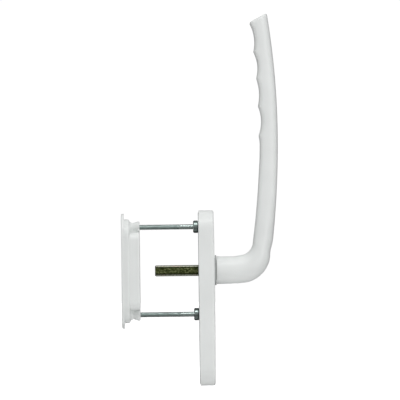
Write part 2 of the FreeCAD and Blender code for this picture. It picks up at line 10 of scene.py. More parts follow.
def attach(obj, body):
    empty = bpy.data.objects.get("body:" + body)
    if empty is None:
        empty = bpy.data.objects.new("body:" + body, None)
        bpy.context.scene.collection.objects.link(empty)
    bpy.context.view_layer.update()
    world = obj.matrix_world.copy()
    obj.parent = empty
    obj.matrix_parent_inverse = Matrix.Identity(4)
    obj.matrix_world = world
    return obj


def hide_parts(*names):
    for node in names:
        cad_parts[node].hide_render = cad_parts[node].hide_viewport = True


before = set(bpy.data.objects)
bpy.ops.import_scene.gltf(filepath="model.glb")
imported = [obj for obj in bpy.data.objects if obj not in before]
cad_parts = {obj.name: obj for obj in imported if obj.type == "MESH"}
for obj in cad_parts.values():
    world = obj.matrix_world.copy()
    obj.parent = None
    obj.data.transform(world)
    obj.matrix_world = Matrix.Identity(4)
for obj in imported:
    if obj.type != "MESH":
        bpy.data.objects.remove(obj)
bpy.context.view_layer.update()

# Lift-and-slide door handle set: the visual model. Lengths below are in millimetres and scaled on the way in.
MM = 0.001
FIXED = "mounted_set"
TURNING = "turning_lever"

AROUND = 72                  # points round the lever's sections
TURNED = 96                  # points round a turned part


# ---------------------------------------------------------------- mesh helpers

def smooth(t):
    t = min(max(t, 0.0), 1.0)
    return t * t * (3 - 2 * t)


def make_piece(name, points, faces, body, materials, sharp=32.0, face_slots=None):
    """A mesh object from points in millimetres, shaded smooth but for edges sharper than `sharp` degrees."""
    mesh = bpy.data.meshes.new(name)
    mesh.from_pydata([[c * MM for c in p] for p in points], [], faces)
    mesh.update()
    if face_slots is not None:
        mesh.polygons.foreach_set("material_index", face_slots)
    work = bmesh.new()
    work.from_mesh(mesh)
    bmesh.ops.remove_doubles(work, verts=work.verts, dist=0.002 * MM)
    bmesh.ops.dissolve_degenerate(work, edges=work.edges, dist=0.001 * MM)
    bmesh.ops.recalc_face_normals(work, faces=work.faces)
    work.to_mesh(mesh)
    work.free()
    mesh.shade_smooth()
    mesh.set_sharp_from_angle(angle=math.radians(sharp))
    piece = bpy.data.objects.new(name, mesh)
    bpy.context.scene.collection.objects.link(piece)
    for material in materials:
        mesh.materials.append(material)
    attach(piece, body)
    return piece


class Shape:
    """Points and faces that grow ring by ring."""

    def __init__(self):
        self.points = []
        self.faces = []

    def ring(self, points):
        start = len(self.points)
        self.points.extend([tuple(p) for p in points])
        return list(range(start, start + len(points)))

    def bridge(self, first, second):
        count = len(first)
        for i in range(count):
            j = (i + 1) % count
            self.faces.append((first[i], first[j], second[j], second[i]))

    def fan(self, ring):
        centre = np.mean([self.points[i] for i in ring], axis=0)
        middle = self.ring([centre])[0]
        count = len(ring)
        for i in range(count):
            self.faces.append((ring[i], ring[(i + 1) % count], middle))

    def loft(self, rings, cap_first=True, cap_last=True):
        made = [self.ring(r) for r in rings]
        for first, second in zip(made, made[1:]):
            self.bridge(first, second)
        if cap_first:
            self.fan(made[0])
        if cap_last:
            self.fan(made[-1])
        return made


def circle_x(x, radius, y=0.0, z=0.0, count=TURNED):
    turns = [2 * math.pi * i / count for i in range(count)]
    return [(x, y + radius * math.sin(t), z - radius * math.cos(t)) for t in turns]


def arc_profile(corners, steps=4):
    """Rounds the corners of a profile of (x, radius, rounding) points. Returns (x, radius) points."""
    out = []
    for i, (x, r, rounding) in enumerate(corners):
        if not rounding or i in (0, len(corners) - 1):
            out.append((x, r))
            continue
        here = np.array([x, r])
        before = np.array(corners[i - 1][:2]) - here
        after = np.array(corners[i + 1][:2]) - here
        before /= np.linalg.norm(before)
        after /= np.linalg.norm(after)
        half = math.acos(max(-1.0, min(1.0, float(before @ after)))) / 2
        reach = rounding / math.tan(half)
        first = here + before * reach
        last = here + after * reach
        for k in range(steps + 1):
            t = k / steps
            p = (1 - t) ** 2 * first + 2 * t * (1 - t) * here + t * t * last
            out.append((float(p[0]), float(p[1])))
    return out


def lathe(name, profile, y, z, body, materials, count=TURNED, closed=False, sharp=32.0):
    """A turned part about an axis along X. A closed profile makes a ring with a bore."""
    shape = Shape()
    rings = [circle_x(x, r, y, z, count) for x, r in profile]
    made = shape.loft(rings, not closed, not closed)
    if closed:
        shape.bridge(made[-1], made[0])
    return make_piece(name, shape.points, shape.faces, body, materials, sharp)


def natural_spline(parameters, values):
    """The natural cubic spline through values at parameters, as a function."""
    t = np.asarray(parameters, float)
    v = np.asarray(values, float)
    n = len(t)
    h = np.diff(t)
    system = np.zeros((n, n))
    right = np.zeros(n)
    system[0, 0] = system[-1, -1] = 1.0
    for i in range(1, n - 1):
        system[i, i - 1] = h[i - 1]
        system[i, i] = 2 * (h[i - 1] + h[i])
        system[i, i + 1] = h[i]
        right[i] = 6 * ((v[i + 1] - v[i]) / h[i] - (v[i] - v[i - 1]) / h[i - 1])
    second = np.linalg.solve(system, right)

    def at(x):
        i = int(np.clip(np.searchsorted(t, x) - 1, 0, n - 2))
        a = t[i + 1] - x
        b = x - t[i]
        return ((second[i] * a ** 3 + second[i + 1] * b ** 3) / (6 * h[i])
                + (v[i] / h[i] - second[i] * h[i] / 6) * a
                + (v[i + 1] / h[i] - second[i + 1] * h[i] / 6) * b)
    return at


# ---------------------------------------------------------------- materials

class Nodes:
    """A node material with short calls for the nodes used here."""

    def __init__(self, name):
        self.material = bpy.data.materials.new(name)
        self.material.use_nodes = True
        self.tree = self.material.node_tree
        self.shader = self.tree.nodes["Principled BSDF"]
        self.place = self.tree.nodes.new("ShaderNodeTexCoord").outputs["Object"]

    def new(self, kind, **values):
        node = self.tree.nodes.new(kind)
        for key, value in values.items():
            setattr(node, key, value)
        return node

    def link(self, a, b):
        self.tree.links.new(a, b)

    def stretched(self, x, y, z):
        mapping = self.new("ShaderNodeMapping")
        mapping.inputs["Scale"].default_value = (x, y, z)
        self.link(self.place, mapping.inputs["Vector"])
        return mapping.outputs["Vector"]

    def noise(self, size_mm, detail=3.0, roughness=0.5, place=None, distortion=0.0):
        node = self.new("ShaderNodeTexNoise")
        node.inputs["Scale"].default_value = 1.0 / (size_mm * MM)
        node.inputs["Detail"].default_value = detail
        node.inputs["Roughness"].default_value = roughness
        node.inputs["Distortion"].default_value = distortion
        self.link(place or self.place, node.inputs["Vector"])
        return node.outputs["Fac"]

    def ramp(self, value, stops):
        node = self.new("ShaderNodeValToRGB")
        elements = node.color_ramp.elements
        while len(elements) < len(stops):
            elements.new(0.5)
        for element, (position, colour) in zip(elements, stops):
            element.position = position
            element.color = (*colour, 1.0)
        self.link(value, node.inputs["Fac"])
        return node.outputs["Color"]

    def spread(self, value, low, high, from_low=0.3, from_high=0.7):
        node = self.new("ShaderNodeMapRange")
        node.inputs["From Min"].default_value = from_low
        node.inputs["From Max"].default_value = from_high
        node.inputs["To Min"].default_value = low
        node.inputs["To Max"].default_value = high
        self.link(value, node.inputs["Value"])
        return node.outputs["Result"]

    def mix(self, a, b, factor):
        """Mixes two colours, each a tuple or a socket, by the socket factor."""
        node = self.new("ShaderNodeMix", data_type="RGBA")
        self.link(factor, node.inputs[0])
        for socket, value in ((node.inputs[6], a), (node.inputs[7], b)):
            if isinstance(value, tuple):
                socket.default_value = (*value, 1.0)
            else:
                self.link(value, socket)
        return node.outputs[2]

    def bump(self, height, depth_mm, strength=1.0, under=None):
        node = self.new("ShaderNodeBump")
        node.inputs["Distance"].default_value = depth_mm * MM
        node.inputs["Strength"].default_value = strength
        self.link(height, node.inputs["Height"])
        if under is not None:
            self.link(under, node.inputs["Normal"])
        return node.outputs["Normal"]

    def finish(self, colour, roughness, normal=None, **fixed):
        self.link(colour, self.shader.inputs["Base Color"])
        if isinstance(roughness, float):
            self.shader.inputs["Roughness"].default_value = roughness
        else:
            self.link(roughness, self.shader.inputs["Roughness"])
        if normal is not None:
            self.link(normal, self.shader.inputs["Normal"])
        for key, value in fixed.items():
            self.shader.inputs[key.replace("_", " ")].default_value = value
        return self.material


def powder_coat(name, colour=(0.79, 0.81, 0.80)):
    """Satin white enamel: fine orange peel, faint cloudy variation in colour and gloss."""
    n = Nodes(name)
    cloud = n.noise(26.0, 2.0)
    lighter = tuple(min(1.0, c * 1.02) for c in colour)
    darker = tuple(c * 0.975 for c in colour)
    base = n.mix(darker, lighter, n.spread(cloud, 0.0, 1.0))
    gloss = n.spread(n.noise(9.0, 3.0), 0.30, 0.38)
    peel = n.noise(1.1, 2.0, 0.55)
    fine = n.noise(0.28, 2.0, 0.6)
    normal = n.bump(peel, 0.005, 1.0)
    normal = n.bump(fine, 0.001, 1.0, normal)
    return n.finish(base, gloss, normal, Specular_IOR_Level=0.5, Coat_Weight=0.1, Coat_Roughness=0.25)


def moulded(name, dark, light, roughness=(0.45, 0.6), grain=0.35):
    """Moulded polyamide: fine spark-eroded grain and slight clouding."""
    n = Nodes(name)
    base = n.mix(dark, light, n.spread(n.noise(5.0, 3.0), 0.0, 1.0))
    gloss = n.spread(n.noise(2.0, 2.0), roughness[0], roughness[1])
    normal = n.bump(n.noise(grain, 3.0, 0.6), 0.02, 1.0)
    return n.finish(base, gloss, normal, Specular_IOR_Level=0.4)


def plated(name, dark, light, roughness, lines_mm=None, tint=None, blotch_mm=4.0):
    """Plated steel: cloudy passivation, fine tool or drawing lines, and small specks."""
    n = Nodes(name)
    cloud = n.noise(blotch_mm, 4.0, 0.6, distortion=0.4)
    base = n.mix(dark, light, n.spread(cloud, 0.0, 1.0))
    if tint:
        base = n.mix(base, tint, n.spread(n.noise(blotch_mm * 2.3, 2.0), 0.0, 0.35, 0.45, 0.7))
    gloss = n.spread(n.noise(blotch_mm * 0.4, 3.0), roughness[0], roughness[1])
    normal = None
    if lines_mm:
        lines = n.noise(lines_mm, 3.0, 0.6, n.stretched(1, 0.04, 0.04))
        normal = n.bump(lines, 0.004, 1.0)
    specks = n.noise(0.5, 2.0, 0.5)
    normal = n.bump(specks, 0.003, 1.0, normal)
    return n.finish(base, gloss, normal, Metallic=1.0)


def chromate(name, stops, roughness, size_mm=2.2, painted_corner_shade=False, patch=None):
    """Yellow-olive passivation over zinc: mottled, with drawn lines along the bar; the faces can also be
    darkened beside the corners as painted shade.
    """
    n = Nodes(name)
    place = n.stretched(0.6, 1.0, 1.0)
    mottle = n.noise(size_mm, 4.0, 0.66, place, 1.2)
    base = n.ramp(mottle, stops)
    if painted_corner_shade:
        # Painted shade: each face darkens to near black towards the bar's corners.
        split = n.new("ShaderNodeSeparateXYZ")
        n.link(n.place, split.inputs[0])
        sides = []
        for axis in ("Y", "Z"):
            size = n.new("ShaderNodeMath", operation="ABSOLUTE")
            n.link(split.outputs[axis], size.inputs[0])
            sides.append(size.outputs[0])
        from_middle = n.new("ShaderNodeMath", operation="MINIMUM")
        n.link(sides[0], from_middle.inputs[0])
        n.link(sides[1], from_middle.inputs[1])
        rim = n.spread(from_middle.outputs[0], 0.0, 0.85, 0.0016, 0.0032)
        base = n.mix(base, (0.008, 0.011, 0.004), rim)
    if patch:
        base = n.mix(base, patch, n.spread(n.noise(9.0, 2.0), 0.0, 0.8, 0.5, 0.62))
    gloss = n.spread(n.noise(1.4, 3.0), roughness[0], roughness[1])
    lines = n.noise(0.35, 3.0, 0.6, n.stretched(0.03, 1, 1))
    normal = n.bump(lines, 0.006, 1.0)
    normal = n.bump(n.noise(0.7, 3.0), 0.012, 1.0, normal)
    return n.finish(base, gloss, normal, Metallic=1.0)


ENAMEL = powder_coat("white_powder_coat")
RING_GREY = moulded("grey_polyamide_grain", (0.36, 0.375, 0.37), (0.42, 0.435, 0.43))
NATURAL = moulded("natural_polyamide_grain", (0.66, 0.63, 0.54), (0.76, 0.73, 0.64))
BRIGHT = plated("bright_zinc_screw", (0.40, 0.48, 0.46), (0.54, 0.62, 0.60), (0.22, 0.30), 0.25,
                (0.48, 0.54, 0.54))
ROLLED = plated("bright_zinc_rolled_thread", (0.44, 0.52, 0.50), (0.58, 0.66, 0.64), (0.40, 0.50), 0.25,
                (0.52, 0.58, 0.58))
TURNED_ZINC = plated("bright_zinc_turned", (0.22, 0.28, 0.265), (0.40, 0.47, 0.45), (0.16, 0.24), 0.3,
                     (0.36, 0.40, 0.40), blotch_mm=2.5)
SHEET = plated("zinc_sheet", (0.34, 0.37, 0.37), (0.50, 0.53, 0.53), (0.34, 0.5), 0.5,
               (0.45, 0.50, 0.54), blotch_mm=7.0)
CAST = plated("cast_zinc_raw", (0.40, 0.41, 0.42), (0.52, 0.53, 0.54), (0.45, 0.6), blotch_mm=2.5)
SPRING = plated("spring_steel_tempered", (0.20, 0.21, 0.24), (0.34, 0.35, 0.38), (0.25, 0.4), 0.3,
                (0.20, 0.16, 0.26))
BLACK = plated("black_oxide", (0.025, 0.025, 0.028), (0.07, 0.07, 0.075), (0.35, 0.5))
OLIVE = chromate("olive_chromate",
                 [(0.34, (0.010, 0.015, 0.004)), (0.45, (0.05, 0.065, 0.018)), (0.54, (0.13, 0.155, 0.06)),
                  (0.64, (0.32, 0.33, 0.17)), (0.76, (0.52, 0.52, 0.36))], (0.28, 0.42), 1.5, painted_corner_shade=True)
# The corner lands' chromate is a lighter copy of the faces' chromate: painted highlight where the chamfers
# catch the light above and below.
OLIVE_LAND_LIT = chromate("chromate_land_painted_highlight",
                      [(0.30, (0.48, 0.49, 0.38)), (0.55, (0.64, 0.66, 0.54)), (0.75, (0.76, 0.77, 0.66))],
                      (0.22, 0.34), 3.0, patch=(0.66, 0.53, 0.44))

# ---------------------------------------------------------------- lever

NECK_FACE = 16.6
NECK_WAIST_R = 12.5
NECK_R = 12.7
NECK_WAIST_X = 27.0
INNER_BEND = (37.3, 26.2, 12.8)
OUTER_BEND = (38.5, 15.5, 27.5)
BACK_X, BACK_Z = 74.0, 123.5
BACK_R_ABOVE, BACK_R_BELOW = 708.0, 850.0
BACK_FOOT_Z, BACK_FOOT_SLOPE = 28.4, 0.075
BEND_WIDTH, GRIP_WIDTH = 24.8, 26.0
BEND_TILT, GRIP_TILT, TIP_ANGLE = -31.0, 4.0, 28.3
TIP_INNER = (48.9, 226.1)
TIP_LEAN, TIP_EDGE = 0.36, 2.2
GRIP_FOOT = ((50.75, 31.5), (51.7, 38.5), (52.7, 47.0), (53.7, 57.0), (54.7, 67.5), (55.6, 79.0),
             (56.4, 91.0), (57.1, 103.0), (57.3, 112.0), (57.1, 118.5))
RIDGES = ((56.3, 122.5), (56.0, 149.5), (54.7, 175.0), (52.4, 199.1), TIP_INNER)
GROOVE_DEPTHS = (2.7, 1.9, 2.4, 2.55)
RIDGE_SOFTNESS = 0.22        # how far its rounding takes a ridge's crest back
OUTER_CORNER = 4.6
INNER_CORNER = 4.2
# How far the faces are crowned each way, in degrees: the sides at the foot and at the grooves, the inner
# and outer faces, and every face where the section is still round
SIDE_TURN = (6.0, 12.0)
FACE_TURN = 9.0
ROUND_TURN = 20.0
JOURNAL_R = 9.0
GRUB_X, GRUB_R = 32.5, 3.02


def back_x(z):
    radius = BACK_R_ABOVE if z > BACK_Z else BACK_R_BELOW
    return BACK_X - (z - BACK_Z) ** 2 / (2 * radius) - BACK_FOOT_SLOPE * max(0.0, BACK_FOOT_Z - z)


def across(inner_x, inner_z, tilt):
    slope = math.tan(math.radians(tilt))
    outer_z = inner_z
    for _ in range(12):
        outer_z = inner_z + slope * (back_x(outer_z) - inner_x)
    return (back_x(outer_z), outer_z)


def grip_tilt(z):
    last_ridge = RIDGES[-2][1]
    return (BEND_TILT * (1 - smooth((z - 22) / 56)) + GRIP_TILT * smooth((z - 90) / 90)
            + (TIP_ANGLE - GRIP_TILT) * smooth((z - last_ridge) / (TIP_INNER[1] - last_ridge)))


def grip_station(inner_x, inner_z, tilt=None):
    tilt = grip_tilt(inner_z) if tilt is None else tilt
    width = BEND_WIDTH + (GRIP_WIDTH - BEND_WIDTH) * smooth((inner_z - 60) / 60)
    square = 0.25 + 0.75 * smooth((inner_z - 25) / 50)
    return ((inner_x, inner_z), across(inner_x, inner_z, tilt), width, square)


def groove_x(z):
    """The inner side of the grip above the first ridge: hollows that meet in softened crests."""
    def hollow(k, z):
        (x0, z0), (x1, z1) = RIDGES[k], RIDGES[k + 1]
        t = (z - z0) / (z1 - z0)
        return x0 + (x1 - x0) * t + GROOVE_DEPTHS[k] * 4 * t * (1 - t)
    last = len(RIDGES) - 2
    k = max(0, min(last, sum(1 for r in RIDGES[1:] if z > r[1])))
    here = hollow(k, z)
    best = here
    for other in (k - 1, k + 1):
        if 0 <= other <= last:
            beside = hollow(other, z)
            half = (here - beside) / 2
            best = max(best, (here + beside) / 2 + math.hypot(half, RIDGE_SOFTNESS))
    return best


def lever_stations():
    """Closely spaced sections from the neck to just below the tip's rounded edge."""
    coarse = []
    for x in (NECK_FACE, 20.5, 24.0, 28.0, 32.5):
        r = NECK_WAIST_R + (NECK_R - NECK_WAIST_R) * ((x - NECK_WAIST_X) / (NECK_WAIST_X - NECK_FACE)) ** 2
        coarse.append(((x, r), (x, -r), 2 * r, 0.0))
    for i in range(8):
        t = i / 7
        turn_in, turn_out = math.radians(-90 + 90 * t), math.radians(-90 + 92 * t)
        cx, cz, r = INNER_BEND
        inner = (cx + r * math.cos(turn_in), cz + r * math.sin(turn_in))
        cx, cz, r = OUTER_BEND
        outer = (cx + r * math.cos(turn_out), cz + r * math.sin(turn_out))
        width = 2 * NECK_WAIST_R + (BEND_WIDTH - 2 * NECK_WAIST_R) * t
        coarse.append((inner, outer, width, 0.25 * smooth(t)))
    for x, z in GRIP_FOOT:
        coarse.append(grip_station(x, z))
    coarse.append(grip_station(*RIDGES[0]))
    rows = np.array([(*inner, *outer, width, square) for inner, outer, width, square in coarse])
    steps = (np.hypot(*np.diff(rows[:, 0:2], axis=0).T) + np.hypot(*np.diff(rows[:, 2:4], axis=0).T)) / 2
    lengths = np.concatenate([[0], np.cumsum(steps)])
    curves = [natural_spline(lengths, rows[:, c]) for c in range(6)]
    foot_end = lengths[-3]                      # the last foot point but one: the rest is worked out below
    count = int(foot_end / 1.6)
    stations = []
    for i in range(count + 1):
        at = foot_end * i / count
        xi, zi, xo, zo, width, square = (float(c(at)) for c in curves)
        stations.append(((xi, zi), (xo, zo), width, max(0.0, square)))
    ramp = natural_spline([r[1] for r in coarse_inner(coarse)], [r[0] for r in coarse_inner(coarse)])
    z = coarse[-3][0][1]
    end = TIP_INNER[1] - TIP_EDGE - 0.6
    heights = set(np.arange(z + 1.2, end, 1.2))
    for _, ridge_z in RIDGES[:-1]:
        heights.update(ridge_z + d for d in (-0.9, -0.6, -0.3, 0.0, 0.3, 0.6, 0.9))
    kept = [z]
    for h in sorted(heights):
        if h - kept[-1] > 0.24 and h < end:
            kept.append(float(h))
    for h in kept[1:]:
        rising = groove_x(h)
        below = float(ramp(h)) if h < RIDGES[0][1] + 4 else -1e3
        half = (rising - below) / 2
        x = (rising + below) / 2 + math.hypot(half, RIDGE_SOFTNESS) if below > 0 else rising
        stations.append(grip_station(x, h))
    return stations


def coarse_inner(coarse):
    """The foot's last inner points and the first ridge, and one more so that the ramp runs on past it."""
    foot = [s[0] for s in coarse[-6:]]
    (x0, z0), (x1, z1) = foot[-2], foot[-1]
    return foot + [(x1 + (x1 - x0) * 1.5, z1 + (z1 - z0) * 1.5)]


def section(depth, width, square, crown, inset=0.0):
    """One section in its own plane: u from the inner to the outer side, v across. It is made of eight arcs,
    four crowned sides and four corners, and goes from a circle (square 0) to a crowned oblong (square 1)."""
    a = depth / 2 - inset
    b = width / 2 - inset
    small = min(a, b) - 0.02
    outer_r = small + (max(0.3, OUTER_CORNER - inset) - small) * square
    inner_r = small + (max(0.3, INNER_CORNER - inset) - small) * square
    face_turn = math.radians(ROUND_TURN + (FACE_TURN - ROUND_TURN) * square)
    side_turn = math.radians(ROUND_TURN + (crown - ROUND_TURN) * square)
    # Fixed point for the side's radius, which both corners share
    side_r = b
    for _ in range(30):
        k_outer = (b - outer_r - (side_r - outer_r) * (1 - math.cos(side_turn))) / math.sin(face_turn)
        k_inner = (b - inner_r - (side_r - inner_r) * (1 - math.cos(side_turn))) / math.sin(face_turn)
        span = (a - outer_r - k_outer * (1 - math.cos(face_turn))
                + a - inner_r - k_inner * (1 - math.cos(face_turn)))
        wanted = (span / math.sin(side_turn) + outer_r + inner_r) / 2
        side_r = 0.5 * side_r + 0.5 * wanted
    outer_c = (a - outer_r - k_outer * (1 - math.cos(face_turn)), k_outer * math.sin(face_turn))
    inner_c = (-a + inner_r + k_inner * (1 - math.cos(face_turn)), k_inner * math.sin(face_turn))
    side_c = (outer_c[0] - (side_r - outer_r) * math.sin(side_turn), b - side_r)
    quarter = math.pi / 2
    points = []

    def arc(centre, radius, start, end, count):
        for k in range(count):
            t = start + (end - start) * k / count
            points.append((centre[0] + radius * math.cos(t), centre[1] + radius * math.sin(t)))
    half_face = AROUND // 16 + 1
    corner = (AROUND // 2 - 2 * half_face - AROUND // 8) // 2
    face = AROUND // 2 - 2 * half_face - 2 * corner
    arc((a - outer_r - k_outer, 0), outer_r + k_outer, 0, face_turn, half_face)
    arc(outer_c, outer_r, face_turn, quarter - side_turn, corner)
    arc(side_c, side_r, quarter - side_turn, quarter + side_turn, face)
    arc(inner_c, inner_r, quarter + side_turn, 2 * quarter - face_turn, corner)
    arc((-a + inner_r + k_inner, 0), inner_r + k_inner, 2 * quarter - face_turn, 2 * quarter, half_face)
    points.append((-a, 0.0))
    mirrored = [(u, -v) for u, v in reversed(points[1:-1])]
    return points + mirrored


def placed(station, inset=0.0):
    (xi, zi), (xo, zo), width, square = station
    depth = math.hypot(xo - xi, zo - zi)
    ux, uz = (xo - xi) / depth, (zo - zi) / depth
    cx, cz = (xi + xo) / 2, (zi + zo) / 2
    crown = SIDE_TURN[0] + (SIDE_TURN[1] - SIDE_TURN[0]) * smooth((cz - 50) / 70)
    return [(cx + ux * u, v, cz + uz * u) for u, v in section(depth, width, square, crown, inset)]


def make_lever():
    stations = lever_stations()
    body_rings = [placed(s) for s in stations]
    count = len(body_rings[0])
    neck = section(2 * NECK_R, 2 * NECK_R, 0.0, SIDE_TURN[0])
    angles = [math.atan2(v, u) for u, v in neck]

    def round_ring(x, radius):
        return [(x, radius * math.sin(t), -radius * math.cos(t)) for t in angles]

    def square_ring(x, half, chamfer):
        ring = []
        for t in angles:
            c, s = abs(math.cos(t)), abs(math.sin(t))
            r = min(half / max(c, 1e-9), half / max(s, 1e-9), (2 * half - chamfer) / (c + s))
            ring.append((x, r * math.sin(t), -r * math.cos(t)))
        return ring

    inner_rings = [
        square_ring(40.7, 5.05, 0.9), square_ring(7.1, 5.05, 0.9), square_ring(6.8, 5.35, 0.9),
        round_ring(6.8, JOURNAL_R - 0.3), round_ring(7.1, JOURNAL_R), round_ring(7.7, JOURNAL_R),
        round_ring(7.7, 8.3), round_ring(9.0, 8.3), round_ring(9.0, JOURNAL_R),
        round_ring(NECK_FACE, JOURNAL_R),
    ]
    r = -body_rings[0][0][2]
    edge = [round_ring(NECK_FACE, r - 0.5), round_ring(NECK_FACE + 0.04, r - 0.27),
            round_ring(NECK_FACE + 0.18, r - 0.07), round_ring(NECK_FACE + 0.45, r)]
    tip = []
    for turn in (0, 15, 30, 45, 60, 75, 90):
        bend = math.radians(turn)
        inset = TIP_EDGE * (1 - math.cos(bend))
        drop = TIP_EDGE * (1 - math.sin(bend))
        station = grip_station(TIP_INNER[0] + TIP_LEAN * drop, TIP_INNER[1] - drop, TIP_ANGLE)
        tip.append(placed(station, inset))
    last = np.array(tip[-1])
    centre = last.mean(axis=0)
    caps = [centre + (last - centre) * s for s in (0.9, 0.7, 0.4, 0.15)]
    shape = Shape()
    shape.loft(inner_rings + edge + body_rings[1:] + tip + caps)
    return make_piece("lever_casting", shape.points, shape.faces, TURNING, [ENAMEL], 40.0)


lever = make_lever()
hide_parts("lever")


def cut_grub_hole(piece):
    """The hole for the set screw, from below, with a small chamfer."""
    shape = Shape()
    turns = [2 * math.pi * i / 48 for i in range(48)]

    def ring(z, radius):
        return [(GRUB_X + radius * math.cos(t), radius * math.sin(t), z) for t in turns]
    shape.loft([ring(-16.0, GRUB_R + 3.6), ring(-12.4, GRUB_R), ring(-4.0, GRUB_R)])
    mesh = bpy.data.meshes.new("cutter")
    mesh.from_pydata([[c * MM for c in p] for p in shape.points], [], shape.faces)
    work = bmesh.new()
    work.from_mesh(mesh)
    bmesh.ops.recalc_face_normals(work, faces=work.faces)
    work.to_mesh(mesh)
    work.free()
    cutter = bpy.data.objects.new("cutter", mesh)
    bpy.context.scene.collection.objects.link(cutter)
    cut = piece.modifiers.new("hole", "BOOLEAN")
    cut.operation = "DIFFERENCE"
    cut.solver = "EXACT"
    cut.object = cutter
    bpy.context.view_layer.update()
    evaluated = piece.evaluated_get(bpy.context.evaluated_depsgraph_get())
    done = bpy.data.meshes.new_from_object(evaluated)
    piece.modifiers.clear()
    piece.data = done
    bpy.data.objects.remove(cutter)


cut_grub_hole(lever)

# ---------------------------------------------------------------- plate, cover

PLATE_HALF, PLATE_TOP, PLATE_BOTTOM = 17.5, 54.9, -105.6
COVER_REAR, COVER_FRONT, COVER_WALL, COVER_EDGE = 0.4, 15.0, 1.8, 2.0
CROWN, CROWN_Z = 0.85, -33.0     # the front falls this far in 100 mm from the crown's height
CYLINDER_DROP = 69.0
CUTOUT_GAP = 0.3
SLEEVE_HOLE_R = 11.3


def capsule_ring(half, bottom, top, ends=32, straight=24):
    """(y, z) points of a round-ended outline, always the same number on each end and each straight side."""
    low, high = bottom + half, top - half
    points = []
    for i in range(ends):
        t = math.pi * i / ends
        points.append((half * math.cos(t), high + half * math.sin(t)))
    for i in range(straight):
        points.append((-half, high + (low - high) * i / straight))
    for i in range(ends):
        t = math.pi + math.pi * i / ends
        points.append((half * math.cos(t), low + half * math.sin(t)))
    for i in range(straight):
        points.append((half, low + (high - low) * i / straight))
    return points


def crown_x(z, front=COVER_FRONT):
    return front - CROWN * ((z - CROWN_Z) / 100.0) ** 2


def round_hole(radius, y, z, count=64):
    turns = [2 * math.pi * i / count for i in range(count)]
    return [(y + radius * math.cos(t), z + radius * math.sin(t)) for t in turns]


def profile_hole(grow):
    """The profile cylinder's cut-out: a round over a slot with a round end."""
    r, s = 8.5 + grow, 5.0 + grow
    bottom = -CYLINDER_DROP + 8.5 - 33.0 - grow + s
    meet = math.asin(s / r)
    points = []
    steps = 40
    for i in range(steps + 1):
        t = -math.pi / 2 + meet + (2 * math.pi - 2 * meet) * i / steps
        points.append((r * math.cos(t), -CYLINDER_DROP + r * math.sin(t)))
    start_z = points[-1][1]
    for i in range(1, 8):
        points.append((-s, start_z + (bottom - start_z) * i / 8))
    for i in range(17):
        t = math.pi + math.pi * i / 16
        points.append((s * math.cos(t), bottom + s * math.sin(t)))
    for i in range(1, 8):
        points.append((s, bottom + (start_z - bottom) * i / 8))
    return points


def inside(point, loop):
    y, z = point
    odd = False
    for (y0, z0), (y1, z1) in zip(loop, loop[1:] + loop[:1]):
        if (z0 > z) != (z1 > z) and y < (y1 - y0) * (z - z0) / (z1 - z0) + y0:
            odd = not odd
    return odd


def sheet(shape, outer, holes, height, spacing=3.2):
    """Fills an outline with holes by triangles on the surface x = height(y, z). Returns the rims' indices."""
    flat = list(outer)
    loops = [list(range(len(outer)))]
    for hole in holes:
        loops.append(list(range(len(flat), len(flat) + len(hole))))
        flat.extend(hole)
    lows = np.min(outer, axis=0)
    highs = np.max(outer, axis=0)
    clear = spacing * 0.6
    edges_all = np.array(flat)
    row = 0
    z = lows[1] + spacing
    while z < highs[1]:
        y = lows[0] + spacing * (0.5 if row % 2 else 1.0)
        while y < highs[0]:
            near = np.min(np.hypot(edges_all[:, 0] - y, edges_all[:, 1] - z))
            if near > clear and inside((y, z), outer) and not any(inside((y, z), h) for h in holes):
                flat.append((y, z))
            y += spacing
        z += spacing * 0.87
        row += 1
    edges = [(loop[i], loop[(i + 1) % len(loop)]) for loop in loops for i in range(len(loop))]
    where, _, triangles, origin = delaunay_2d_cdt([Vector(p) for p in flat], edges, [], 0, 1e-6)[:4]
    start = len(shape.points)
    shape.points.extend([(height(y, z), y, z) for y, z in where])
    for tri in triangles:
        my = sum(where[i][0] for i in tri) / 3
        mz = sum(where[i][1] for i in tri) / 3
        if inside((my, mz), outer) and not any(inside((my, mz), h) for h in holes):
            shape.faces.append(tuple(start + i for i in tri))
    new_index = {}
    for new, olds in enumerate(origin):
        for old in olds:
            new_index[old] = start + new
    return [[new_index[i] for i in loop] for loop in loops]


